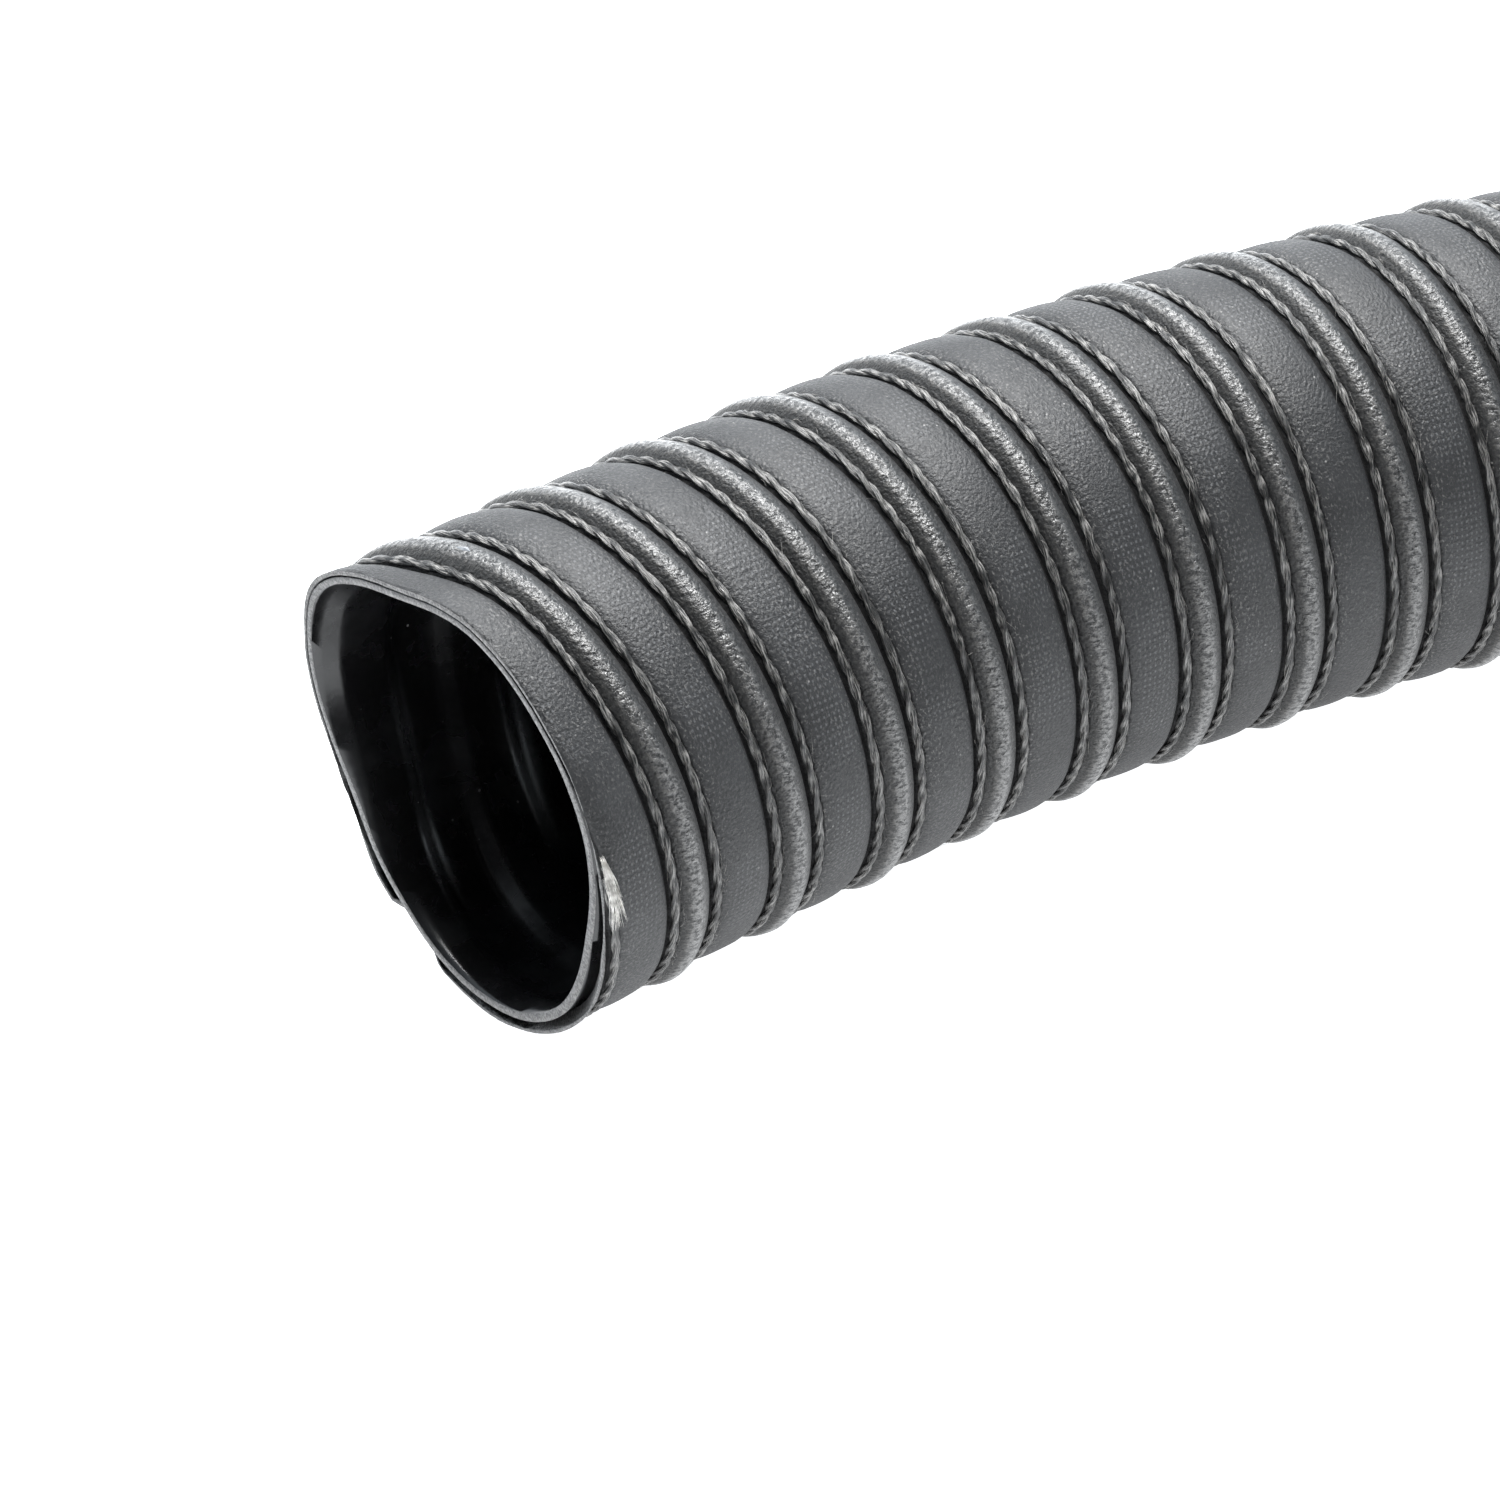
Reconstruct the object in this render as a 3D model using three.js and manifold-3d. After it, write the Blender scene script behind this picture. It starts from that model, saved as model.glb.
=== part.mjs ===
// Wire-reinforced hose, one foot long, lying on its side with a gentle bend.
// An inner ply of coated fabric is wound round with a spring-steel wire, an outer ply
// covers both, and two cords bind the outer ply down on either side of the wire.
// Units are millimetres and +Z is up.
import * as THREE from "three";
import { mergeVertices } from "three/addons/utils/BufferGeometryUtils.js";
import Module from "manifold-3d";

const wasm = await Module();
wasm.setup();

// Driving sizes
const hoseLength = 304.8; // one foot, along the centreline
const boreDiameter = 51;
const innerPlyThickness = 0.9;
const outerPlyThickness = 0.8;
const wireDiameter = 1.5;
const cordDiameter = 1.1;
const pitch = 15.4; // one turn of the wire, along the centreline
const beadWidth = 4.9; // the ridge of cover over the wire, between its two cord seats
const bandCrown = 0.85; // how far the cover bulges between one ridge and the next
const plyGap = 0.25; // between the plies
const wireGap = 0.25; // round the wire in its pocket
const cordGap = 0.15; // under a cord, and on each side of it in its seat
const wireSetback = 4; // how far the wire's ends stop short of the cut ends
const beadAtTop = 8.9; // the first ridge's middle, from the near cut end, along the top
const bendRadius = 400; // the near half is bent, towards -Y
const bendLength = 150; // measured along the centreline; the rest is straight
const dentDepth = 6; // the cut mouth is pushed in on the side away from the bend
const mouthLift = 1.2; // and springs up off the floor by this much
const dentTowards = 248; // degrees from the top, round by the -Y side
const dentHalfAngle = 62; // degrees
const dentReach = 40; // how far along the hose the dent and the lift fade out

// Facets: every round surface is a polygon whose flats touch the true circle
const sidesPerTurn = 16;
const wireSides = 5;
const cordSides = 4;
const overrun = 2; // turns that a winding runs on past each cut end before it is trimmed

// Radii that follow from the sizes above
const boreRadius = boreDiameter / 2;
const innerPlyRadius = boreRadius + innerPlyThickness;
const coverInnerRadius = innerPlyRadius + plyGap;
const seatRadius = coverInnerRadius + outerPlyThickness;
const wireCentreRadius = innerPlyRadius + wireGap + wireDiameter / 2;
const pocketTopRadius = wireCentreRadius + wireDiameter / 2 + wireGap;
const beadRadius = pocketTopRadius + outerPlyThickness;
const bandRadius = seatRadius + bandCrown;
const cordCentreRadius = seatRadius + cordGap + cordDiameter / 2;

// Widths along the hose that follow from the sizes above
const seatWidth = cordDiameter + 2 * cordGap;
const cordSpacing = beadWidth + seatWidth;
const bandWidth = pitch - beadWidth - 2 * seatWidth;
const pocketTopWidth = wireDiameter + 2 * wireGap;
const pocketFootWidth = beadWidth - outerPlyThickness;

const flatsFactor = 1 / Math.cos(Math.PI / sidesPerTurn);

// The middle of the hose at a distance along it, and its heading there.
// The far, straight part runs along +X at y = 0.
function centreline(along) {
  const bent = Math.max(0, bendLength - along);
  const heading = bent / bendRadius;
  const straight = Math.max(0, along - bendLength);
  return {
    x: straight - bendRadius * Math.sin(heading),
    y: -bendRadius * (1 - Math.cos(heading)),
    heading,
  };
}

// How far the wall stands out from round, at a distance along the hose and an angle.
function outOfRound(along, angle) {
  const fade = THREE.MathUtils.smoothstep(dentReach - along, 0, dentReach);
  const offset = THREE.MathUtils.radToDeg(angle) - dentTowards;
  const away = Math.abs(THREE.MathUtils.euclideanModulo(offset + 180, 360) - 180);
  const share = Math.min(away / dentHalfAngle, 1);
  const dent = Math.cos((share * Math.PI) / 2) ** 2;
  return fade * (mouthLift * Math.cos(angle) - dentDepth * dent);
}

// The dent and lift at a point: worked out at the two corners beside it, and in proportion
// between them, so that a flat stays flat and the plies keep their distance.
function pushOfWall(point) {
  const angle = Math.atan2(-point.y, point.z);
  const halfSide = Math.PI / sidesPerTurn;
  const step = Math.floor((angle / (2 * Math.PI)) * sidesPerTurn - 0.5);
  const fromMiddle = angle - cornerAngle(step) - halfSide;
  const share = (1 + Math.tan(fromMiddle) / Math.tan(halfSide)) / 2;
  const push = new THREE.Vector3();
  for (const [corner, weight] of [[step, 1 - share], [step + 1, share]]) {
    const there = cornerAngle(corner);
    const distance = weight * outOfRound(point.x, there);
    push.y -= distance * Math.sin(there);
    push.z += distance * Math.cos(there);
  }
  return push;
}

// Moves a point of the straight hose (along +X, round the X axis) onto the real one.
function bendPoint(point) {
  const { x, y, heading } = centreline(point.x);
  point.add(pushOfWall(point));
  return point.set(
    x - point.y * Math.sin(heading),
    y + point.y * Math.cos(heading),
    point.z,
  );
}

// A point of the straight hose. Angle 0 is the top, and a quarter turn is the -Y side.
function hosePoint(along, angle, radius) {
  const r = radius * flatsFactor;
  return new THREE.Vector3(along, -r * Math.sin(angle), r * Math.cos(angle));
}

// The angle of a corner: half a side round from the top, so that a flat lies underneath.
function cornerAngle(step) {
  return ((step + 0.5) / sidesPerTurn) * 2 * Math.PI;
}

// How far a right-handed winding moves along the hose by a given corner.
function advance(step) {
  return ((step + 0.5) / sidesPerTurn) * pitch;
}

function geometryFrom(points, faces) {
  const geometry = new THREE.BufferGeometry().setFromPoints(points);
  geometry.setIndex(faces.flat());
  return geometry;
}

// Two triangles for the four corners of a side, given counter-clockwise from outside.
function quad(a, b, c, d) {
  return [a, b, c, a, c, d];
}

// A closed winding: a section of (along, radius) points, swept right-handed round the hose
// from one corner number to another, with a flat face at each end.
function winding(section, firstStep, lastStep) {
  const points = [];
  const faces = [];
  const n = section.length;
  for (let step = firstStep; step <= lastStep; step++) {
    for (const p of section) {
      points.push(hosePoint(p.x + advance(step), cornerAngle(step), p.y));
    }
  }
  for (let row = 0; row < lastStep - firstStep; row++) {
    for (let i = 0; i < n; i++) {
      const next = (i + 1) % n;
      const a = row * n;
      faces.push(quad(a + i, a + next, a + n + next, a + n + i));
    }
  }
  const lastRow = (lastStep - firstStep) * n;
  for (const [a, b, c] of THREE.ShapeUtils.triangulateShape(section, [])) {
    faces.push([a, c, b], [lastRow + a, lastRow + b, lastRow + c]);
  }
  return geometryFrom(points, faces);
}

// A solid screw: one pitch of an outline of (along, radius) points, repeated along the hose
// and turned with it, and closed by a cone to the axis at each end.
function screw(outline, turns) {
  const points = [];
  const faces = [];
  const n = outline.length;
  const rows = turns * n + 1; // points along the hose at one corner
  for (let step = 0; step < sidesPerTurn; step++) {
    for (let i = 0; i < rows; i++) {
      const p = outline[i % n];
      const along = p.x + pitch * Math.floor(i / n) + advance(step);
      points.push(hosePoint(along, cornerAngle(step), p.y));
    }
  }
  // A full turn on, the same outline lies one pitch further along.
  const corner = (step, i) =>
    step < sidesPerTurn ? step * rows + i : i + n;
  for (let step = 0; step < sidesPerTurn; step++) {
    const count = step < sidesPerTurn - 1 ? rows - 1 : rows - 1 - n;
    for (let i = 0; i < count; i++) {
      faces.push(
        quad(corner(step, i), corner(step + 1, i), corner(step + 1, i + 1), corner(step, i + 1)),
      );
    }
  }
  const ring = [...Array(sidesPerTurn).keys()];
  const notch = [...Array(n).keys()];
  const startEdge = [...ring.map((s) => corner(s, 0)), ...notch.map((i) => n - i)];
  const endEdge = [
    ...ring.map((s) => corner(s, rows - 1)),
    ...notch.map((i) => corner(sidesPerTurn - 1, rows - 1 - i)).slice(1),
    corner(sidesPerTurn - 1, rows - 1 - n),
  ];
  closeToAxis(points, faces, startEdge, outline[0].x - pitch, false);
  closeToAxis(points, faces, endEdge, outline[0].x + pitch * (turns + 2), true);
  return geometryFrom(points, faces);
}

// Closes a loop of corners with a fan of triangles to one point on the axis.
function closeToAxis(points, faces, loop, along, farEnd) {
  const tip = points.length;
  points.push(new THREE.Vector3(along, 0, 0));
  loop.forEach((a, i) => {
    const b = loop[(i + 1) % loop.length];
    if (a !== b) faces.push(farEnd ? [tip, a, b] : [tip, b, a]);
  });
}

// Where a plain tube has its rings: close together in the dent, and further apart beyond.
function ringStations() {
  const stations = [];
  const dentRings = Math.ceil((dentReach / pitch) * 4);
  for (let i = 0; i < dentRings; i++) stations.push((i / dentRings) * dentReach);
  const rings = Math.ceil((hoseLength - dentReach) / pitch);
  for (let i = 0; i <= rings; i++) {
    stations.push(dentReach + (i / rings) * (hoseLength - dentReach));
  }
  return stations;
}

// A tube along the straight hose, with enough rings to follow the dent and the bend.
function tube(innerRadius, outerRadius) {
  const stations = ringStations();
  const profile = stations.map((along) => new THREE.Vector2(outerRadius * flatsFactor, along));
  for (const along of stations.reverse()) {
    profile.push(new THREE.Vector2(innerRadius * flatsFactor, along));
  }
  profile.push(profile[0].clone());
  const halfSide = Math.PI / sidesPerTurn;
  return new THREE.LatheGeometry(profile, sidesPerTurn)
    .rotateY(halfSide)
    .rotateZ(-Math.PI / 2);
}

function toSolid(geometry) {
  const bare = new THREE.BufferGeometry();
  bare.setAttribute("position", geometry.getAttribute("position"));
  bare.setIndex(geometry.index);
  const merged = mergeVertices(bare, 1e-4);
  return new wasm.Manifold(
    new wasm.Mesh({
      numProp: 3,
      vertProperties: new Float32Array(merged.attributes.position.array),
      triVerts: new Uint32Array(merged.index.array),
    }),
  );
}

function toGeometry(solid) {
  const mesh = solid.getMesh();
  const geometry = new THREE.BufferGeometry();
  geometry.setAttribute("position", new THREE.BufferAttribute(mesh.vertProperties, 3));
  geometry.setIndex(new THREE.BufferAttribute(mesh.triVerts, 1));
  return geometry;
}

// The block between the two cut ends, for trimming what runs past them.
function cutBlock() {
  const width = 4 * beadRadius;
  const block = new THREE.BoxGeometry(hoseLength, width, width);
  return toSolid(block.translate(hoseLength / 2, 0, 0));
}

// Bends a straight piece, and gives it flat-shaded normals.
function bend(geometry) {
  const bent = geometry.index ? geometry.toNonIndexed() : geometry;
  const position = bent.getAttribute("position");
  const point = new THREE.Vector3();
  for (let i = 0; i < position.count; i++) {
    bendPoint(point.fromBufferAttribute(position, i));
    position.setXYZ(i, point.x, point.y, point.z);
  }
  bent.computeVertexNormals();
  return bent;
}

// The cover's outer outline over one pitch, from the middle of a ridge.
function coverOutline() {
  const bead = beadWidth / 2;
  const seat = bead + seatWidth;
  const crest = beadWidth * 0.22;
  const crown = bandWidth * 0.21;
  const middle = pitch / 2;
  return [
    [crest, beadRadius],
    [bead, seatRadius],
    [seat, seatRadius],
    [middle - crown, bandRadius],
    [middle + crown, bandRadius],
    [pitch - seat, seatRadius],
    [pitch - bead, seatRadius],
    [pitch - crest, beadRadius],
  ].map(([along, radius]) => new THREE.Vector2(along, radius));
}

// The cover's inner outline over one pitch: round the inner ply, and up over the wire.
function pocketOutline() {
  const top = pocketTopWidth / 2;
  const foot = pocketFootWidth / 2;
  const third = (pitch - 2 * foot) / 3; // so that it can follow the dent
  return [
    [top, pocketTopRadius],
    [foot, coverInnerRadius],
    [foot + third, coverInnerRadius],
    [foot + 2 * third, coverInnerRadius],
    [pitch - foot, coverInnerRadius],
    [pitch - top, pocketTopRadius],
  ].map(([along, radius]) => new THREE.Vector2(along, radius));
}

// A round section whose flats touch the true circle, centred at (along, radius).
function roundSection(diameter, sides, along, radius) {
  const r = diameter / 2;
  const section = [];
  for (let i = 0; i < sides; i++) {
    const angle = ((i + 0.5) / sides) * 2 * Math.PI;
    section.push(new THREE.Vector2(along + r * Math.cos(angle), radius + r * Math.sin(angle)));
  }
  return section;
}

function makeInnerPly() {
  return tube(boreRadius, innerPlyRadius);
}

function makeOuterPly() {
  const turns = Math.ceil(hoseLength / pitch) + 2 * overrun + 1;
  const start = beadAtTop - pitch * (overrun + 1);
  const outside = toSolid(screw(coverOutline(), turns).translate(start, 0, 0));
  const inside = toSolid(screw(pocketOutline(), turns).translate(start, 0, 0));
  return toGeometry(outside.subtract(inside).intersect(cutBlock()));
}

// A cord, bound on from end to end at a distance along the hose from the ridge's middle.
function makeCord(fromBead) {
  const section = roundSection(cordDiameter, cordSides, beadAtTop + fromBead, cordCentreRadius);
  const first = -overrun * sidesPerTurn;
  const last = Math.ceil(hoseLength / pitch + overrun) * sidesPerTurn;
  return toGeometry(toSolid(winding(section, first, last)).intersect(cutBlock()));
}

// The wire stops inside its pocket at both ends.
function makeWire() {
  const section = roundSection(wireDiameter, wireSides, beadAtTop, wireCentreRadius);
  const perStep = pitch / sidesPerTurn;
  const first = Math.ceil((wireSetback + wireDiameter / 2 - beadAtTop) / perStep);
  const lastAlong = hoseLength - wireSetback - wireDiameter / 2 - beadAtTop;
  return winding(section, first, Math.floor(lastAlong / perStep) - 1);
}

const coatedFabric = new THREE.MeshStandardMaterial({ color: 0x2b2c2e, roughness: 0.62 });
const smoothLining = new THREE.MeshStandardMaterial({ color: 0x0c0c0d, roughness: 0.3 });
const bindingYarn = new THREE.MeshStandardMaterial({ color: 0x39383a, roughness: 0.7 });
const springSteel = new THREE.MeshStandardMaterial({
  color: 0x8f9092,
  roughness: 0.35,
  metalness: 1,
});

function piece(name, geometry, material) {
  const mesh = new THREE.Mesh(bend(geometry), material);
  mesh.name = name;
  return mesh;
}

const hose = new THREE.Group();
hose.add(
  piece("inner_ply", makeInnerPly(), smoothLining),
  piece("wire_helix", makeWire(), springSteel),
  piece("outer_ply", makeOuterPly(), coatedFabric),
  piece("near_side_cord", makeCord(-cordSpacing / 2), bindingYarn),
  piece("far_side_cord", makeCord(cordSpacing / 2), bindingYarn),
);

// The origin is under the middle of the hose, on the surface that it lies on.
const bounds = new THREE.Box3().setFromObject(hose, true);
const middle = bounds.getCenter(new THREE.Vector3());
hose.position.set(-middle.x, -middle.y, -bounds.min.z);

const part = new THREE.Group();
part.add(hose);

export default part;
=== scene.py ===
import math
import random
import bmesh
import bpy
import numpy as np
from mathutils import Matrix, Vector, noise


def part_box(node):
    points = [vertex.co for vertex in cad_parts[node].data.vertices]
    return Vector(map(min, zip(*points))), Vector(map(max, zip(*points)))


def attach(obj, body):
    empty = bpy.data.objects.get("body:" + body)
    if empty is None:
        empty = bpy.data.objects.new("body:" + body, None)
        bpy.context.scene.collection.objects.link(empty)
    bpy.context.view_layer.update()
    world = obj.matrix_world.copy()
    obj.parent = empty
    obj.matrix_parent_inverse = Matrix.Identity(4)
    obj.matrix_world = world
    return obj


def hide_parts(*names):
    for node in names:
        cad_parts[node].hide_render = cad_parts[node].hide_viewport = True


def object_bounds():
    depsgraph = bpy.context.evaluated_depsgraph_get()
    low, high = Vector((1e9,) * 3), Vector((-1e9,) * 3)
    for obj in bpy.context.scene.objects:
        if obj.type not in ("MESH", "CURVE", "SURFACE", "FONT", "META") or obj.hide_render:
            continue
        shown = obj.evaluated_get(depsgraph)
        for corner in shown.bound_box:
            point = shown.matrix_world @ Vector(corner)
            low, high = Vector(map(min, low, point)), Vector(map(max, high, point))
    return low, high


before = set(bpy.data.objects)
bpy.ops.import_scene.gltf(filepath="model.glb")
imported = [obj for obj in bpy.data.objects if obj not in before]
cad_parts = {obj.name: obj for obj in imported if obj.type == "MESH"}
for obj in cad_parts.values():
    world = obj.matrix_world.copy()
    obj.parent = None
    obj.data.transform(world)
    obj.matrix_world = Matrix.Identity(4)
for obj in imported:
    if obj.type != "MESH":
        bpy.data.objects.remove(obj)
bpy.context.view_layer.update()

mm = 0.001
fullTurn = 2 * math.pi

# The hose as a whole. Everything is made straight along +X, then bent like this.
hose = {
    "length": 304.8 * mm,
    "pitch": 15.4 * mm,            # one turn of the wire
    "beadAtTop": 8.9 * mm,         # first ridge's middle, along the top
    "beadRadius": 29.2 * mm,
    "bendRadius": 400 * mm,
    "bendLength": 150 * mm,        # the rest is straight
    "dentDepth": 6 * mm,
    "dentTowards": 248,            # degrees from the top, round by -Y
    "dentHalfAngle": 62,
    "dentReach": 40 * mm,
    "mouthLift": 1.2 * mm,
    # Small waves of the cut edge: towards (degrees), half width, push and reach
    "mouthWaves": [(345, 28, -1.6 * mm, 14 * mm), (309, 18, 0.7 * mm, 9 * mm),
                   (22, 20, 0.3 * mm, 12 * mm)],
}
pitch = hose["pitch"]
length = hose["length"]

# Where the CAD model has the end of the straight middle line
coverLow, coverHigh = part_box("outer_ply")
middle = Vector((
    coverHigh[0] - (length - hose["bendLength"]),
    coverHigh[1] - hose["beadRadius"],
    coverLow[2] + hose["beadRadius"],
))


def smooth(value, low, high):
    t = min(max((value - low) / (high - low), 0), 1)
    return t * t * (3 - 2 * t)


def centreline(along):
    heading = max(0, hose["bendLength"] - along) / hose["bendRadius"]
    straight = max(0, along - hose["bendLength"])
    x = straight - hose["bendRadius"] * math.sin(heading)
    y = -hose["bendRadius"] * (1 - math.cos(heading))
    return x, y, heading


def wave(along, angle, towards, halfAngle, push, reach):
    # A smooth hump or hollow that is deepest at the cut mouth
    away = abs((math.degrees(angle) - towards + 180) % 360 - 180)
    share = math.cos(min(away / halfAngle, 1) * math.pi / 2) ** 2
    return push * share * smooth(reach - along, 0, reach)


def allWaves(along, angle, waves):
    return sum(wave(along, angle, *given) for given in waves)


def outOfRound(along, angle):
    # How far the wall stands out from round near the cut mouth
    reach = hose["dentReach"]
    lift = hose["mouthLift"] * math.cos(angle) * smooth(reach - along, 0, reach)
    dent = wave(along, angle, hose["dentTowards"], hose["dentHalfAngle"],
                -hose["dentDepth"], reach)
    return lift + dent + allWaves(along, angle, hose["mouthWaves"])


def bent(point):
    # Angle 0 is the top, and a quarter turn on is the -Y side
    along, y, z = point
    angle = math.atan2(-y, z)
    radius = math.hypot(y, z) + outOfRound(along, angle)
    side = -radius * math.sin(angle)
    x, y, heading = centreline(along)
    return Vector((
        x - side * math.sin(heading),
        y + side * math.cos(heading),
        radius * math.cos(angle),
    )) + middle


def onHose(along, angle, radius):
    return Vector((along, -radius * math.sin(angle), radius * math.cos(angle)))


# Camera, at the photograph's angle
view = {
    "fromMouth": Vector((-213.2, -291.4, 298.2)) * mm,   # along the mouth's own axis
    "yaw": -41.52,
    "elevation": 38.84,
    "lens": 100.8,
}


def addCamera():
    x, y, heading = centreline(0)
    turn = Matrix.Rotation(heading, 4, "Z")
    camera = bpy.data.objects.new("camera", bpy.data.cameras.new("camera"))
    camera.data.lens = view["lens"]
    camera.data.sensor_width = 36
    camera.data.clip_start = 0.01
    camera.location = turn @ view["fromMouth"] + Vector((x, y, 0)) + middle
    yaw = math.radians(view["yaw"]) + heading
    camera.rotation_euler = (math.radians(90 - view["elevation"]), 0, yaw)
    bpy.context.collection.objects.link(camera)
    bpy.context.scene.camera = camera
    print("camera at", tuple(round(v, 4) for v in camera.location))


addCamera()


# Meshes

weld = 0.002 * mm           # points closer than this are one


def windOn(profile, sides):
    # One turn of the profile, then copies of it a pitch apart, and both ends cut square
    bm = bmesh.new()
    verts = [bm.verts.new((x + hose["beadAtTop"], 0, r)) for x, r in profile]
    edges = [bm.edges.new(pair) for pair in zip(verts, verts[1:])]
    bmesh.ops.spin(
        bm, geom=verts + edges, cent=(0, 0, 0), axis=(1, 0, 0),
        dvec=(pitch / sides, 0, 0), angle=fullTurn, steps=sides,
    )
    turn = bm.verts[:] + bm.edges[:] + bm.faces[:]
    for step in range(-2, int(length / pitch) + 2):
        if step:
            copy = bmesh.ops.duplicate(bm, geom=turn)["geom"]
            copied = [v for v in copy if isinstance(v, bmesh.types.BMVert)]
            bmesh.ops.translate(bm, verts=copied, vec=(step * pitch, 0, 0))
    bmesh.ops.remove_doubles(bm, verts=bm.verts, dist=weld)
    for end, outward in ((0, -1), (length, 1)):
        bmesh.ops.bisect_plane(
            bm, geom=bm.verts[:] + bm.edges[:] + bm.faces[:], dist=weld,
            plane_co=(end, 0, 0), plane_no=(outward, 0, 0), clear_outer=True,
        )
    return bm


def joinSheets(outer, inner):
    # Brings the inside sheet into the outside one's bmesh, and closes the two cut ends
    spare = bpy.data.meshes.new("spare")
    inner.to_mesh(spare)
    inner.free()
    outer.from_mesh(spare)
    bpy.data.meshes.remove(spare)
    for end in (0, length):
        rim = [
            e for e in outer.edges
            if e.is_boundary and all(abs(v.co.x - end) < 0.01 * mm for v in e.verts)
        ]
        made = bmesh.ops.triangle_fill(
            outer, edges=rim, use_beauty=True, normal=(1, 0, 0),
        )["geom"]
        for face in made:
            if isinstance(face, bmesh.types.BMFace):
                face.material_index = 1
    bmesh.ops.recalc_face_normals(outer, faces=outer.faces)
    return outer


def layUV(bm):
    # "lay" is mm across the winding, from a ridge's middle, and mm along the winding.
    # "cloth" is mm along the hose and mm round it.
    lay = bm.loops.layers.uv.new("lay")
    cloth = bm.loops.layers.uv.new("cloth")
    roundLength = fullTurn * 28          # mm, at the cover's middle radius
    for face in bm.faces:
        centre = face.calc_center_median()
        faceAngle = math.atan2(-centre.y, centre.z)
        faceTurns = (centre.x - hose["beadAtTop"]) / pitch - faceAngle / fullTurn
        ridge = math.floor(faceTurns + 0.5)
        for loop in face.loops:
            x, y, z = loop.vert.co
            angle = math.atan2(-y, z)
            angle += fullTurn * round((faceAngle - angle) / fullTurn)
            share = angle / fullTurn
            across = (x - hose["beadAtTop"]) - (ridge + share) * pitch
            loop[lay].uv = (across / mm, (ridge + share) * roundLength)
            loop[cloth].uv = (x / mm, share * roundLength)


def addPiece(name, mesh, materials):
    mesh.polygons.foreach_set("use_smooth", [True] * len(mesh.polygons))
    piece = bpy.data.objects.new(name, mesh)
    bpy.context.collection.objects.link(piece)
    for material in materials:
        mesh.materials.append(material)
    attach(piece, "root")
    print(name, len(mesh.polygons), "faces")
    return piece


def addSheet(name, bm, materials):
    for vert in bm.verts:
        vert.co = bent(vert.co)
    mesh = bpy.data.meshes.new(name)
    bm.to_mesh(mesh)
    bm.free()
    return addPiece(name, mesh, materials)


# Materials

class Nodes:
    # Short ways to add nodes to one material
    def __init__(self, name):
        self.material = bpy.data.materials.new(name)
        self.material.use_nodes = True
        self.tree = self.material.node_tree
        self.shader = self.tree.nodes["Principled BSDF"]

    def add(self, kind, inputs=None, **settings):
        node = self.tree.nodes.new(kind)
        for key, value in settings.items():
            setattr(node, key, value)
        for key, value in (inputs or {}).items():
            self.put(node.inputs[key], value)
        return node

    def put(self, socket, value):
        if isinstance(value, bpy.types.NodeSocket):
            self.tree.links.new(value, socket)
        else:
            socket.default_value = value

    def surface(self, name, value):
        self.put(self.shader.inputs[name], value)

    def math(self, operation, a, b=0.0, c=0.0):
        node = self.add("ShaderNodeMath", operation=operation)
        for socket, given in zip(node.inputs, (a, b, c)):
            self.put(socket, given)
        return node.outputs[0]

    def times(self, first, *others):
        for other in others:
            first = self.math("MULTIPLY", first, other)
        return first

    def plus(self, a, b):
        return self.math("ADD", a, b)

    def ramp(self, value, low, high, toLow=0.0, toHigh=1.0):
        node = self.add("ShaderNodeMapRange", interpolation_type="SMOOTHSTEP")
        for socket, given in zip(node.inputs, (value, low, high, toLow, toHigh)):
            self.put(socket, given)
        return node.outputs[0]

    def between(self, value, rise, fall):
        # Each slope is given as where it is 0 and where it is 1
        return self.times(self.ramp(value, *rise), self.ramp(value, *fall))

    def mix(self, factor, a, b):
        node = self.add("ShaderNodeMix", data_type="RGBA")
        for socket, given in ((0, factor), (6, a), (7, b)):
            self.put(node.inputs[socket], given)
        return node.outputs[2]

    def uv(self, name):
        # The map's vector, then its two numbers
        node = self.add("ShaderNodeUVMap", uv_map=name)
        split = self.add("ShaderNodeSeparateXYZ", {0: node.outputs[0]})
        return node.outputs[0], split.outputs[0], split.outputs[1]

    def here(self):
        return self.add("ShaderNodeTexCoord").outputs["Object"]

    def noise(self, where, size, detail=2.0, rough=0.5, stretch=None):
        # size is the size of a lump, in the units of where
        if stretch:
            where = self.add("ShaderNodeMapping", {0: where, 3: stretch}).outputs[0]
        node = self.add("ShaderNodeTexNoise", {"Vector": where, "Scale": 1 / size,
                                               "Detail": detail, "Roughness": rough})
        return node.outputs["Fac"]

    def specks(self, here, apart, edge, gathered, some):
        # Small spots about apart from each other, but only where a broad noise allows
        cells = self.add("ShaderNodeTexVoronoi", {"Vector": here, "Scale": 1 / apart})
        spots = self.ramp(cells.outputs["Distance"], *edge)
        return self.times(spots, self.ramp(self.noise(here, gathered, 1), *some))

    def bump(self, height, distance, under=None):
        node = self.add("ShaderNodeBump", {"Height": height, "Distance": distance,
                                           "Strength": 1.0})
        if under:
            self.put(node.inputs["Normal"], under)
        return node.outputs[0]


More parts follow.
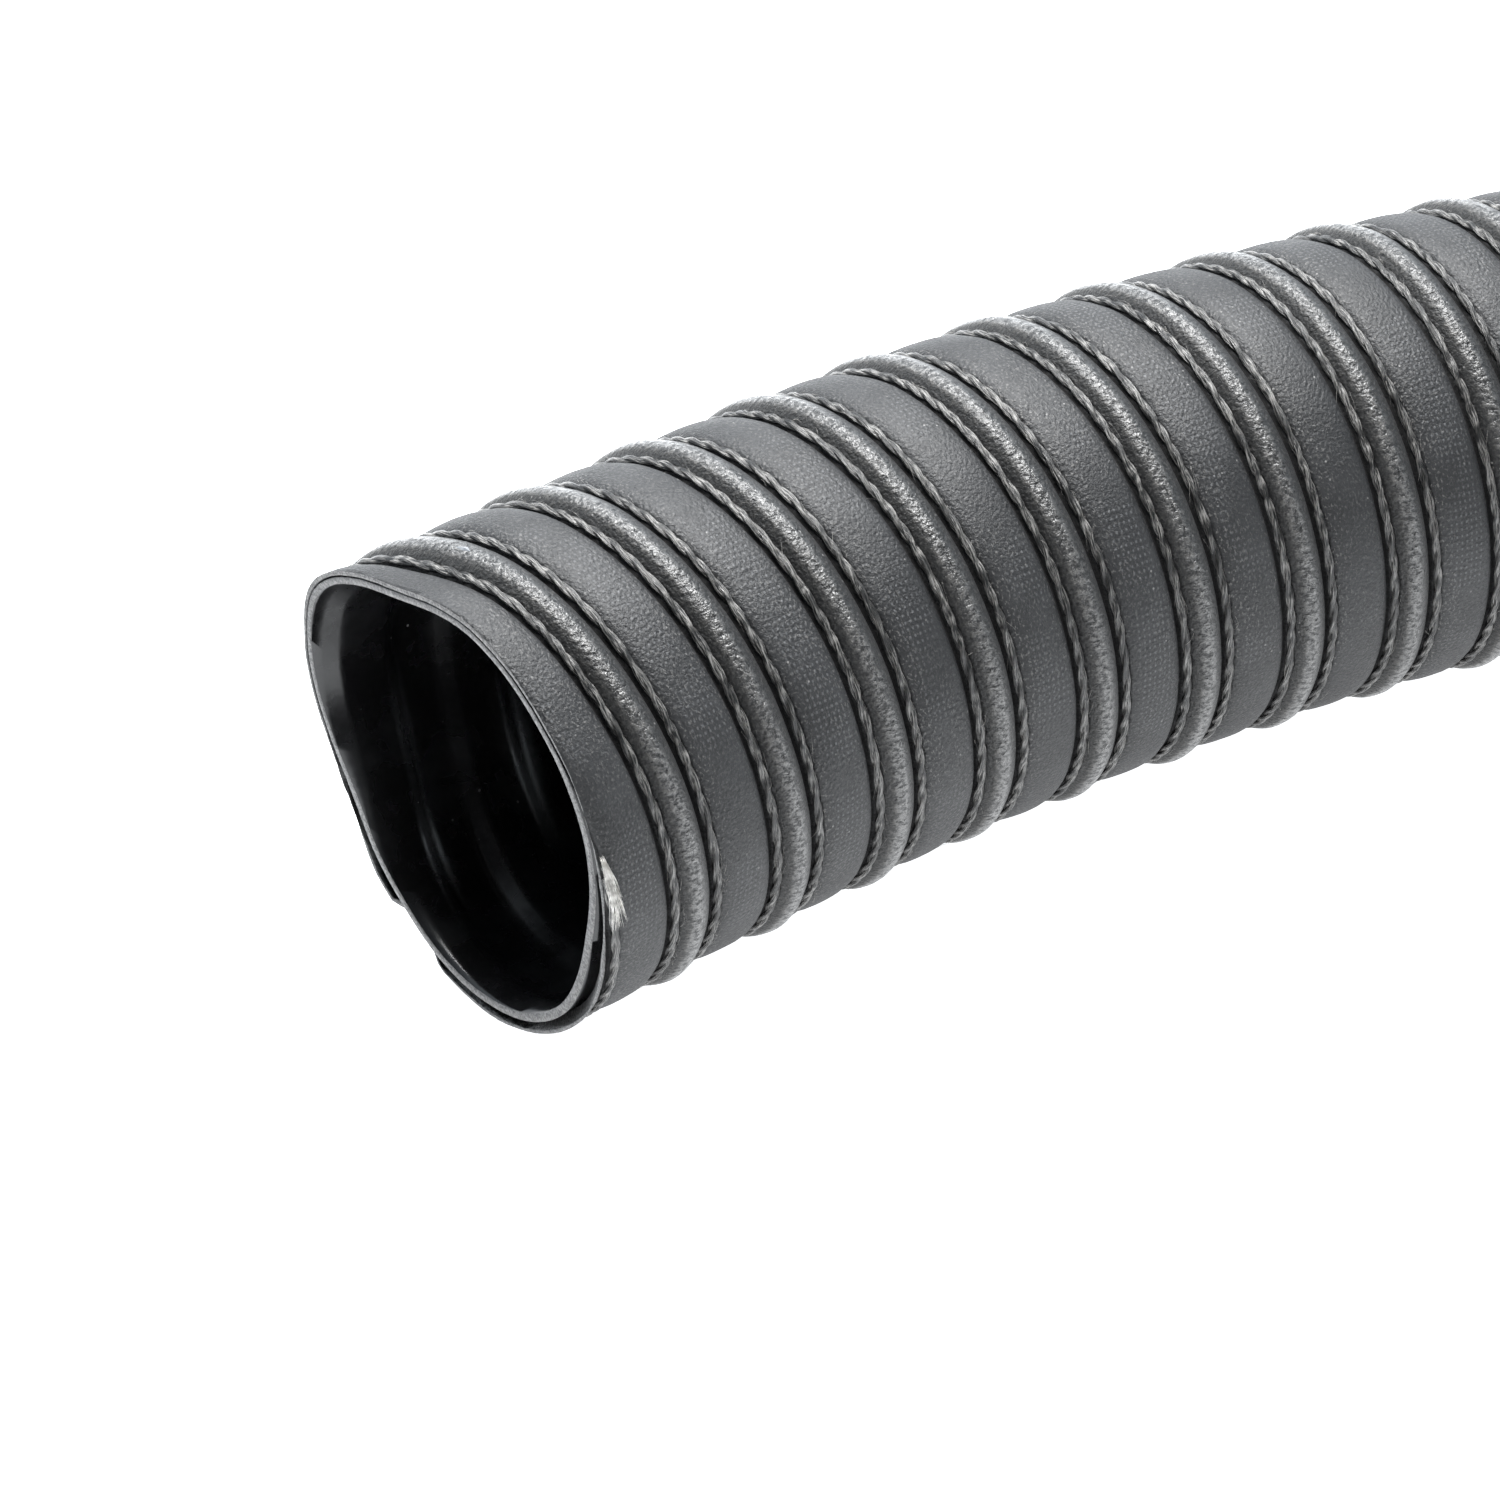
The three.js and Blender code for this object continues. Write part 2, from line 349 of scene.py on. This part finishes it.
cover = {
    "sides": 120,
    "innerSides": 96,
    "wall": 0.5 * mm,
    "seatRadius": 27.35 * mm,
    "crestRadius": 29.05 * mm,
    "bandRadius": 28.45 * mm,
    "beadHalf": 2.42 * mm,
    "seatHalf": 3.9 * mm,
    "grooves": (-3.68 * mm, 2.62 * mm),   # drawn in on the near side of each cord
    "grooveDepth": 0.3 * mm,
    "grooveWidth": 0.28 * mm,
    "slack": 0.14 * mm,       # how far the cloth wanders in and out
    "slackSizes": (11 * mm, 3.2 * mm),
    "slackSeed": 3,
    # The mouth
    "mouthReach": 9 * mm,
    "emptyReach": 7 * mm,     # past the cut the ridge has no wire in it
    "flattened": 0.22,        # of its height is lost there
    "tornFrom": 186,          # degrees; the cut edge is torn back as far as tornTo
    "tornTo": 208,
    "tornDepth": 1.8 * mm,
    "ragDepth": 0.10 * mm,
    "flapTo": 262,            # and stands off the lining from there to here
    "flapOut": 0.7 * mm,
    "waves": [(192, 30, -1.2 * mm, 9 * mm)],
    # Colours and surface
    "bandColour": (0.007, 0.0073, 0.008, 1),
    "bandPale": (0.016, 0.0165, 0.0175, 1),
    "beadColour": (0.008, 0.0079, 0.0078, 1),
    # pale wear, and the painted highlight on the near half of the crest
    "wearAndHighlightColour": (0.15, 0.143, 0.133, 1),
    "fleckColour": (0.095, 0.092, 0.088, 1),
    "dotColour": (0.075, 0.076, 0.079, 1),
    "speckColour": (0.32, 0.31, 0.30, 1),
    # painted shade of the seats beside the cords
    "seatShadeColour": (0.008, 0.008, 0.008, 1),
    # painted shadow of the grooves beside the cords
    "grooveShadowColour": (0.0015, 0.0015, 0.0015, 1),
    "threadPitch": 0.72,      # mm
    "weaveDepth": 0.02 * mm,
    "grainDepth": 0.09 * mm,
    "pebbleDepth": 0.16 * mm,
    "crinkleDepth": 0.34 * mm,
    "crestGloss": 0.22,       # roughness of the rubbed crest
}


def coverHeight(across):
    # Radius of the outer ply's outside, at a distance from the ridge's middle
    a = abs(across)
    seat = cover["seatRadius"]
    for groove in cover["grooves"]:
        seat -= cover["grooveDepth"] * math.exp(-((across - groove) / cover["grooveWidth"]) ** 2)
    if a < cover["beadHalf"]:
        share = a / cover["beadHalf"]
        return seat + (cover["crestRadius"] - seat) * (1 - share ** 2.2) ** 0.8
    if a < cover["seatHalf"]:
        return seat
    # The band is crowned, and drops steeply at its edges
    half = pitch / 2 - cover["seatHalf"]
    share = (pitch / 2 - a) / half
    rise = (cover["bandRadius"] - seat) * (1 - share ** 5) ** 0.5
    return seat + rise * (1 - 0.22 * share ** 2)


def bothSides(side):
    # A half profile from the ridge's middle, mirrored to a whole one
    return [(-a, r) for a, r in reversed(side)] + side[1:]


def coverProfile():
    bead = [0, 0.6, 1.15, 1.6, 1.95, 2.2, 2.35]
    seat = [2.7, 3.15, 3.6, 3.9]
    band = [4.03, 4.35, 4.95, 5.8, 6.8, 7.7]
    half = [a * mm for a in bead + seat + band]
    acrosses = [-a for a in reversed(half)] + half[1:]
    return [(a, coverHeight(a)) for a in acrosses]


def coverUnderside():
    # Over the wire, then down between the ridges, about one wall under the outside
    wall = cover["wall"]
    half = [0, 1.4 * mm, 2.3 * mm, 3.2 * mm, 4.3 * mm, pitch / 2]
    radii = [cover["crestRadius"] - wall, cover["crestRadius"] - 1.7 * wall,
             cover["seatRadius"] - 1.1 * wall, cover["seatRadius"] - 1.1 * wall,
             cover["bandRadius"] - 1.3 * wall, cover["bandRadius"] - wall]
    return bothSides(list(zip(half, radii)))


def makeCoverMaterial():
    n = Nodes("coatedCloth")
    here = n.here()
    layVector, across, _ = n.uv("lay")
    _, along, around = n.uv("cloth")

    # Where things are, in mm from the ridge's middle
    away = n.math("ABSOLUTE", across)
    onBead = n.ramp(away, 2.45, 1.9)
    onCrest = n.ramp(away, 1.9, 0.2)
    nearCrest = n.between(across, (-2.0, -1.1), (0.9, -0.1))
    rubbedCrest = n.between(across, (-1.5, -0.6), (1.1, 0.1))
    pastCord = n.between(across, (7.2, 4.6), (3.9, 4.3))
    midBand = n.ramp(away, 4.8, 5.8)
    inGroove = n.math("MAXIMUM", n.between(across, (-4.0, -3.75), (-3.1, -3.4)),
                      n.between(across, (2.15, 2.4), (3.2, 2.9)))
    inSeat = n.between(away, (2.1, 2.5), (4.2, 3.8))

    lumps = n.noise(here, 9 * mm, 3, 0.6)
    grain = n.noise(here, 0.35 * mm, 3, 0.7)
    pebbles = n.noise(here, 0.42 * mm, 2, 0.5)
    dashes = n.noise(layVector, 0.30, 2, 0.6, stretch=(1.0, 0.6, 1))
    crinkle = n.noise(layVector, 0.62, 3, 0.6, stretch=(0.8, 1.0, 1))
    patches = n.noise(here, 13 * mm, 2, 0.5)
    rubbed = n.noise(layVector, 7, 2, 0.5, stretch=(1.0, 0.25, 1))

    # The weave: a dot where threads cross, in patches, and a slanting twill
    per = fullTurn / cover["threadPitch"]
    warp = n.math("SINE", n.times(along, per))
    weft = n.math("SINE", n.times(around, per * 0.86))
    dots = n.times(n.ramp(warp, 0.0, 0.9), n.ramp(weft, 0.0, 0.9))
    printed = n.times(n.ramp(patches, 0.44, 0.56), midBand)
    twill = n.math("SINE", n.times(n.plus(n.times(along, 1.6), around), per * 0.62))

    colour = n.mix(n.ramp(lumps, 0.35, 0.7), cover["bandColour"], cover["bandPale"])
    # Short pale dashes, thicker just past each far cord
    busy = n.plus(n.ramp(rubbed, 0.35, 0.65, 0.15, 0.75), n.times(pastCord, 0.3))
    colour = n.mix(n.times(n.ramp(dashes, 0.54, 0.68), busy), colour, cover["fleckColour"])
    # The ridge, pale on the wrinkles of the near half of its crest, partly wear and partly
    # painted highlight
    colour = n.mix(onBead, colour, cover["beadColour"])
    wrinkles = n.times(nearCrest, n.ramp(crinkle, 0.42, 0.62))
    colour = n.mix(n.times(wrinkles, 0.38), colour, cover["wearAndHighlightColour"])
    beadDashes = n.times(n.ramp(dashes, 0.5, 0.66), n.times(onBead, 0.16))
    colour = n.mix(beadDashes, colour, cover["wearAndHighlightColour"])
    colour = n.mix(n.times(printed, dots, 0.8), colour, cover["dotColour"])
    specks = n.specks(here, 1.6 * mm, (0.11, 0.05), 6 * mm, (0.45, 0.62))
    colour = n.mix(n.times(specks, 0.5), colour, cover["speckColour"])
    # Painted shade in the seats where the cords lie
    colour = n.mix(n.times(inSeat, 0.6), colour, cover["seatShadeColour"])
    # Painted shadow in the groove on the near side of each cord
    n.surface("Base Color", n.mix(inGroove, colour, cover["grooveShadowColour"]))

    rough = n.ramp(grain, 0.3, 0.7, 0.48, 0.66)
    rough = n.math("SUBTRACT", rough, n.times(onCrest, 0.22))
    n.surface("Roughness", n.plus(rough, n.times(inGroove, 0.4)))

    weave = n.plus(n.times(twill, 0.25), n.times(dots, printed, 0.8))
    normal = n.bump(weave, cover["weaveDepth"])
    normal = n.bump(n.plus(grain, dashes), cover["grainDepth"], normal)
    normal = n.bump(pebbles, cover["pebbleDepth"], normal)
    wrinkled = n.plus(n.times(nearCrest, 0.9), 0.12)
    normal = n.bump(n.times(crinkle, wrinkled), cover["crinkleDepth"], normal)
    n.surface("Normal", normal)

    # The crest is rubbed to a dull shine
    shine = n.times(rubbedCrest, n.ramp(crinkle, 0.38, 0.56))
    n.surface("Coat Weight", shine)
    n.surface("Coat Roughness", cover["crestGloss"])
    n.surface("Coat Normal", normal)
    return n.material


def makeCutEdgeMaterial():
    n = Nodes("cutEdge")
    here = n.here()
    fibres = n.noise(here, 0.35 * mm, 3, 0.7)
    colour = n.mix(n.ramp(fibres, 0.3, 0.7), (0.065, 0.065, 0.066, 1), (0.25, 0.245, 0.24, 1))
    n.surface("Base Color", colour)
    n.surface("Roughness", 0.75)
    n.surface("Normal", n.bump(fibres, 0.12 * mm))
    return n.material


coverMaterial = makeCoverMaterial()
cutEdge = makeCutEdgeMaterial()


def slacken(bm):
    # The slack and creases of the real cloth, as small moves in and out
    broadSize, fineSize = cover["slackSizes"]
    seed = cover["slackSeed"]
    for vert in bm.verts:
        at = vert.co.copy()
        radius = math.hypot(at.y, at.z)
        broad = noise.noise(at / broadSize + Vector((seed, 0, 0)))
        fine = noise.noise(at / fineSize + Vector((0, seed, 0)))
        push = cover["slack"] * (broad + 0.45 * fine)
        vert.co.y *= 1 + push / radius
        vert.co.z *= 1 + push / radius


def tearMouth(bm):
    # The ragged edge, the torn-back stretch and the loose flap beside it
    reach, emptyReach = cover["mouthReach"], cover["emptyReach"]
    tornFrom, tornTo, flapTo = cover["tornFrom"], cover["tornTo"], cover["flapTo"]
    low = cover["seatRadius"]
    for vert in bm.verts:
        x, y, z = vert.co
        if x > reach:
            continue
        angle = math.degrees(math.atan2(-y, z)) % 360
        near = smooth(reach - x, 0, reach)
        # The empty ridge lies flatter, from the -Y side round under the hose
        empty = smooth(angle, 60, 95) * (1 - smooth(angle, 215, 240))
        empty *= smooth(emptyReach - x, 0, emptyReach)
        radius = math.hypot(y, z)
        flat = min(radius, low) + max(radius - low, 0) * (1 - cover["flattened"] * empty)
        flat += allWaves(x, math.radians(angle), cover["waves"])
        y, z = y * flat / radius, z * flat / radius
        torn = smooth(angle, tornFrom, tornFrom + 14)
        torn *= 1 - smooth(angle, tornTo - 2.5, tornTo)
        rag = cover["ragDepth"] * noise.noise(Vector((angle / 3, 0, 0)))
        loose = smooth(angle, tornTo - 3, tornTo + 12)
        loose *= 1 - smooth(angle, flapTo - 20, flapTo)
        push = 1 + near * loose * cover["flapOut"] / math.hypot(y, z)
        along = x + near * (torn * cover["tornDepth"] + rag)
        vert.co = Vector((along, y * push, z * push))


def makeCover():
    outside = windOn(coverProfile(), cover["sides"])
    slacken(outside)
    bm = joinSheets(outside, windOn(coverUnderside(), cover["innerSides"]))
    layUV(bm)
    tearMouth(bm)
    piece = addSheet("coated_cover", bm, [coverMaterial, cutEdge])
    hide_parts("outer_ply")


makeCover()


lining = {
    "sides": 96,
    "wallUnderBand": 0.8 * mm,
    "wallUnderWire": 1.1 * mm,
    "underWire": 26.45 * mm,
    "underBand": 27.7 * mm,
    # Its own waves at the mouth, where it stands clear of the cover
    "waves": [(202, 30, -1.4 * mm, 12 * mm), (98, 36, -1.3 * mm, 12 * mm),
              (152, 36, 0.8 * mm, 12 * mm)],
    "colour": (0.006, 0.006, 0.0065, 1),
    "smearColour": (0.012, 0.012, 0.013, 1),
    "speckColour": (0.25, 0.25, 0.25, 1),
    "rough": (0.20, 0.34),
    "unevenDepth": 0.05 * mm,
}


def liningProfile(thick):
    # thick is 0 for the outside and 1 for the bore
    half = [0, 2.4 * mm, 3.4 * mm, 4.6 * mm, 6.0 * mm, pitch / 2]
    low = lining["underWire"] - thick * lining["wallUnderWire"]
    high = lining["underBand"] - thick * lining["wallUnderBand"]
    radii = [low, low, low + 0.12 * (high - low), low + 0.75 * (high - low),
             high - 0.05 * mm, high]
    return bothSides(list(zip(half, radii)))


def makeLiningMaterial():
    n = Nodes("smoothLining")
    here = n.here()
    smears = n.noise(here, 7 * mm, 3, 0.6)
    colour = n.mix(n.ramp(smears, 0.4, 0.75), lining["colour"], lining["smearColour"])
    specks = n.specks(here, 3.5 * mm, (0.07, 0.03), 9 * mm, (0.5, 0.65))
    n.surface("Base Color", n.mix(n.times(specks, 0.6), colour, lining["speckColour"]))
    n.surface("Roughness", n.ramp(smears, 0.3, 0.7, *lining["rough"]))
    n.surface("Normal", n.bump(n.noise(here, 2.5 * mm, 2), lining["unevenDepth"]))
    return n.material


def makeLining():
    outside = windOn(liningProfile(0), lining["sides"])
    bm = joinSheets(outside, windOn(liningProfile(1), lining["sides"]))
    layUV(bm)
    for vert in bm.verts:
        x, y, z = vert.co
        angle, radius = math.atan2(-y, z), math.hypot(y, z)
        radius += allWaves(x, angle, lining["waves"])
        vert.co = onHose(x, angle, radius)
    piece = addSheet("smooth_lining", bm, [makeLiningMaterial(), cutEdge])
    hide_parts("inner_ply")


makeLining()


# The two cords, each of two strands of yarn laid round each other
cord = {
    "nearOffset": -2.87 * mm,     # from the ridge's middle to the cord's
    "farOffset": 3.45 * mm,
    "nearStart": 262 - 360,       # degrees; where each begins at the cut mouth
    "farStart": 75,
    "radius": 27.85 * mm,
    "strandRadius": 0.35 * mm,
    "strandOffset": 0.21 * mm,
    "flatness": (0.78, 1.12),     # of each strand, out from the hose and sideways
    "layLength": 7.0 * mm,        # one full twist
    "unevenTwist": 2.2,           # radians
    "wobble": 0.12 * mm,
    "spacing": 0.6 * mm,
    "sides": 8,
    "darkYarn": (0.006, 0.006, 0.006, 1),
    "paleYarn": (0.25, 0.242, 0.23, 1),
    "fibreDepth": 0.26 * mm,
}


def makeYarnMaterial():
    n = Nodes("bindingYarn")
    here = n.here()
    strandVector = n.uv("strand")[0]
    fibres = n.noise(strandVector, 0.14, 3, 0.6, stretch=(0.09, 1.0, 1))
    patches = n.noise(here, 2.6 * mm, 2)
    colour = n.mix(n.ramp(fibres, 0.44, 0.60), cord["darkYarn"], cord["paleYarn"])
    colour = n.mix(n.ramp(patches, 0.36, 0.58, 0.8, 0.0), colour, cord["darkYarn"])
    n.surface("Base Color", colour)
    n.surface("Roughness", 0.3)
    n.surface("Normal", n.bump(fibres, cord["fibreDepth"]))
    return n.material


yarn = makeYarnMaterial()


def strandPath(fromBead, startAngle, phase):
    # Points of one strand, from its start at the mouth to the far cut
    turnLength = math.hypot(fullTurn * cord["radius"], pitch)
    start = hose["beadAtTop"] + fromBead
    firstTurn = startAngle / 360
    while start + firstTurn * pitch > pitch:
        firstTurn -= 1
    lastTurn = (length - start) / pitch
    count = int((lastTurn - firstTurn) * turnLength / cord["spacing"])
    slope = pitch / turnLength
    inset = 0.02 * mm            # a strand stops just short of each cut
    for i in range(count + 1):
        turns = firstTurn + (lastTurn - firstTurn) * i / count
        twist = fullTurn * turns * turnLength / cord["layLength"] + phase
        twist += cord["unevenTwist"] * noise.noise(Vector((turns * 14, fromBead * 700, 5)))
        wobble = cord["wobble"] * noise.noise(Vector((turns * 9, fromBead * 900, 0)))
        sideways = cord["strandOffset"] * math.cos(twist) + wobble
        out = cord["strandOffset"] * math.sin(twist)
        angle = fullTurn * turns - sideways * slope / cord["radius"]
        along = start + turns * pitch + sideways
        along = min(max(along, inset), length - inset)
        yield onHose(along, angle, cord["radius"] + out)


def tubeMesh(paths, radii, sides, flat):
    # Vertices, faces and the two UV numbers of tubes along lists of points
    verts, faces, uvs = [], [], []
    for points, radius in zip(paths, radii):
        points = np.array(points)
        ahead = np.gradient(points, axis=0)
        ahead /= np.linalg.norm(ahead, axis=1)[:, None]
        outward = points * [0, 1, 1]
        outward /= np.maximum(np.linalg.norm(outward, axis=1)[:, None], 1e-9)
        side = np.cross(ahead, outward)
        side /= np.linalg.norm(side, axis=1)[:, None]
        outward = np.cross(side, ahead)
        steps = np.linalg.norm(np.diff(points, axis=0), axis=1)
        down = np.concatenate([[0], np.cumsum(steps)]) / mm
        width = np.broadcast_to(radius, len(points))
        base = len(verts)
        for p, a, b, w in zip(points, outward, side, width):
            for s in range(sides):
                t = fullTurn * s / sides
                verts.append(p + w * (flat[0] * math.cos(t) * a + flat[1] * math.sin(t) * b))
        for i in range(len(points) - 1):
            for s in range(sides):
                n = (s + 1) % sides
                at = base + i * sides
                faces.append((at + s, at + n, at + sides + n, at + sides + s))
                u0, u1 = down[i], down[i + 1]
                v0, v1 = s / sides * 2, (s + 1) / sides * 2     # 2 mm round a strand
                uvs += [(u0, v0), (u0, v1), (u1, v1), (u1, v0)]
        first = tuple(base + s for s in reversed(range(sides)))
        last = tuple(base + (len(points) - 1) * sides + s for s in range(sides))
        faces += [first, last]
        uvs += [(0, 0)] * (2 * sides)
    return verts, faces, uvs


def addTubes(name, paths, radii, sides, material, flat=(1, 1)):
    verts, faces, uvs = tubeMesh(paths, radii, sides, flat)
    mesh = bpy.data.meshes.new(name)
    mesh.from_pydata([bent(v) for v in verts], [], faces)
    layer = mesh.uv_layers.new(name="strand")
    layer.data.foreach_set("uv", np.array(uvs).ravel())
    return addPiece(name, mesh, [material])


def makeCord(name, fromBead, startAngle, node):
    paths = [list(strandPath(fromBead, startAngle, phase)) for phase in (0, math.pi)]
    radii = [cord["strandRadius"]] * 2
    piece = addTubes(name, paths, radii, cord["sides"], yarn, cord["flatness"])
    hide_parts(node)


makeCord("near_side_yarn", cord["nearOffset"], cord["nearStart"], "near_side_cord")
makeCord("far_side_yarn", cord["farOffset"], cord["farStart"], "far_side_cord")


# Loose fibres: a white frayed end at the mouth, and hairs here and there on the cords
fray = {
    "tuftHairs": 130,
    "tuftLength": 6.5 * mm,
    "tuftAngle": 72,              # degrees
    "strayHairs": 1600,
    "strayLength": 2.2 * mm,
    "darkEndHairs": 46,
    "darkEndAngle": 262,
    "hairRadius": 0.022 * mm,
    "hairPoints": 7,
    "tuftWidths": (0.6, 1.6, 2.2, 2.2, 1.6, 1.0, 0.4),   # at each point, times hairRadius
    "hairSides": 3,
    "whiteFibre": ((0.45, 0.43, 0.40, 1), (0.95, 0.93, 0.89, 1)),
    "greyFibre": ((0.10, 0.10, 0.10, 1), (0.42, 0.40, 0.37, 1)),
}


def makeHairMaterial(name):
    n = Nodes(name)
    shade = n.noise(n.here(), 0.8 * mm, 2)
    dark, pale = fray[name]
    n.surface("Base Color", n.mix(n.ramp(shade, 0.3, 0.7), dark, pale))
    n.surface("Roughness", 0.5)
    return n.material


def taper(first, last):
    return np.linspace(first, last, fray["hairPoints"]) * fray["hairRadius"]


def hairPath(start, alongBy, roundBy, hairLength, lift, rng):
    # A short fibre that leaves start, which is a place along, an angle and a radius
    points = []
    drift = rng.uniform(-0.5, 0.5)
    lastPoint = fray["hairPoints"] - 1
    for i in range(lastPoint + 1):
        t = i / lastPoint
        s = start[0] + alongBy * t + drift * 0.12 * hairLength * t * t
        a = start[1] + roundBy * t
        r = start[2] + lift * math.sin(math.pi * min(t * 1.15, 1)) * (1 - 0.4 * t)
        points.append(onHose(max(s, -0.6 * mm), a, r))
    return points


def makeTuft():
    rng = random.Random(11)
    paths, radii = [], []
    first = math.radians(fray["tuftAngle"])
    widths = np.array(fray["tuftWidths"]) * fray["hairRadius"]
    for i in range(fray["tuftHairs"]):
        hairLength = fray["tuftLength"] * rng.uniform(0.45, 1.1)
        side = rng.gauss(0, 0.16) * mm
        up = abs(rng.gauss(0, 0.16)) * mm
        start = (0.1 * mm + side, first + rng.uniform(-0.06, 0.06),
                 cord["radius"] + 0.3 * mm + up)
        roundBy = hairLength / cord["radius"]
        lead = 0.14 * hairLength + rng.gauss(0, 0.08) * hairLength
        lift = rng.uniform(0.1, 0.6) * mm
        paths.append(hairPath(start, lead, roundBy, hairLength, lift, rng))
        radii.append(widths)
    addTubes("frayed_end", paths, radii, fray["hairSides"], makeHairMaterial("whiteFibre"))


def makeStrayHairs():
    rng = random.Random(5)
    paths, radii = [], []
    turns = length / pitch
    for i in range(fray["strayHairs"]):
        offset = rng.choice((cord["nearOffset"], cord["farOffset"]))
        turn = rng.uniform(0, 1) ** 1.3 * (turns - 1.5) + 0.2
        along = hose["beadAtTop"] + offset + turn * pitch + rng.gauss(0, 0.35) * mm
        hairLength = fray["strayLength"] * rng.uniform(0.4, 1.5)
        way = rng.choice((-1, 1))
        start = (along, fullTurn * turn, cord["radius"] + rng.uniform(0.25, 0.5) * mm)
        lead = rng.gauss(0, 0.28) * hairLength
        roundBy = way * math.sqrt(max(hairLength ** 2 - lead ** 2, 0)) / cord["radius"]
        lift = rng.uniform(0, 1) ** 2 * 0.55 * mm
        paths.append(hairPath(start, lead, roundBy, hairLength, lift, rng))
        radii.append(taper(1.0, 0.4))
    # The dark ragged end of the near cord
    for i in range(fray["darkEndHairs"]):
        start = (1.7 * mm + rng.gauss(0, 0.25) * mm,
                 math.radians(fray["darkEndAngle"] + rng.gauss(0, 1.2)),
                 cord["radius"] + rng.uniform(-0.2, 0.5) * mm)
        hairLength = rng.uniform(0.8, 2.6) * mm
        lead = rng.gauss(-0.3, 0.5) * hairLength
        roundBy = rng.uniform(-1, 0.3) * hairLength / cord["radius"]
        lift = rng.uniform(0, 0.8) * mm
        paths.append(hairPath(start, lead, roundBy, hairLength, lift, rng))
        radii.append(taper(2.2, 0.8))
    addTubes("stray_fibres", paths, radii, fray["hairSides"], makeHairMaterial("greyFibre"))


makeTuft()
makeStrayHairs()


wire = {
    "dullColour": (0.32, 0.32, 0.33, 1),
    "brightColour": (0.52, 0.52, 0.53, 1),
    "rough": (0.28, 0.42),
}


def makeWireMaterial():
    n = Nodes("springWire")
    marks = n.noise(n.here(), 1.5 * mm, 3)
    n.surface("Base Color", n.mix(marks, wire["dullColour"], wire["brightColour"]))
    n.surface("Metallic", 1.0)
    n.surface("Roughness", n.ramp(marks, 0.3, 0.7, *wire["rough"]))
    return n.material


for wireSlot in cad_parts["wire_helix"].material_slots:
    wireSlot.material = makeWireMaterial()
print("wire coloured")


# Floor, light and surround
studio = {
    "floorSize": 6,
    "floorColour": (0.60, 0.61, 0.62, 1),
    "glowColour": (0.97, 0.985, 1.0, 1),
    "floorGlow": 1.15,            # a lit table, so there is next to no shadow
    "surround": 1.3,
    "surroundColour": (0.82, 0.91, 1.0, 1),
    "darkSide": 0.08,
    "darkTowards": (-0.25, -0.96, 0.1),
    "darkFade": (-0.25, 0.6),     # from white to dark, as the cosine to darkTowards
    "lampAt": (-0.05, 0.24, 0.75),
    "lampAim": (-0.05, 0, 0.03),
    "lampSize": (0.45, 0.7),
    "lampPower": 22,
}


def makeFloor():
    bm = bmesh.new()
    bmesh.ops.create_grid(bm, x_segments=1, y_segments=1, size=studio["floorSize"] / 2)
    mesh = bpy.data.meshes.new("floor")
    bm.to_mesh(mesh)
    bm.free()
    floor = bpy.data.objects.new("floor", mesh)
    floor.location.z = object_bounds()[0][2]
    bpy.context.collection.objects.link(floor)
    n = Nodes("paleFloor")
    n.surface("Base Color", studio["floorColour"])
    n.surface("Roughness", 0.6)
    n.surface("Emission Color", studio["glowColour"])
    n.surface("Emission Strength", studio["floorGlow"])
    mesh.materials.append(n.material)
    print("floor at", round(floor.location.z, 5))


def makeSurround():
    # A white tent, open and dark on one side
    world = bpy.data.worlds.new("surround")
    world.use_nodes = True
    tree = world.node_tree
    lookingTo = tree.nodes.new("ShaderNodeTexCoord")
    facing = tree.nodes.new("ShaderNodeVectorMath")
    facing.operation = "DOT_PRODUCT"
    facing.inputs[1].default_value = studio["darkTowards"]
    fade = tree.nodes.new("ShaderNodeMapRange")
    fade.interpolation_type = "SMOOTHSTEP"
    steps = (*studio["darkFade"], studio["surround"], studio["darkSide"])
    for socket, value in zip(fade.inputs[1:5], steps):
        socket.default_value = value
    background = tree.nodes["Background"]
    tree.links.new(lookingTo.outputs["Generated"], facing.inputs[0])
    tree.links.new(facing.outputs["Value"], fade.inputs[0])
    tree.links.new(fade.outputs[0], background.inputs[1])
    background.inputs[0].default_value = studio["surroundColour"]
    bpy.context.scene.world = world
    print("surround made")


def makeLamp():
    light = bpy.data.lights.new("overhead", "AREA")
    light.shape = "RECTANGLE"
    light.size, light.size_y = studio["lampSize"]
    light.energy = studio["lampPower"]
    lamp = bpy.data.objects.new("overhead", light)
    lamp.location = studio["lampAt"]
    aim = Vector(studio["lampAim"]) - Vector(studio["lampAt"])
    lamp.rotation_euler = aim.to_track_quat("-Z", "Y").to_euler()
    bpy.context.collection.objects.link(lamp)
    print("lamp made")


makeFloor()
makeSurround()
makeLamp()
bpy.context.scene.view_settings.view_transform = "Standard"
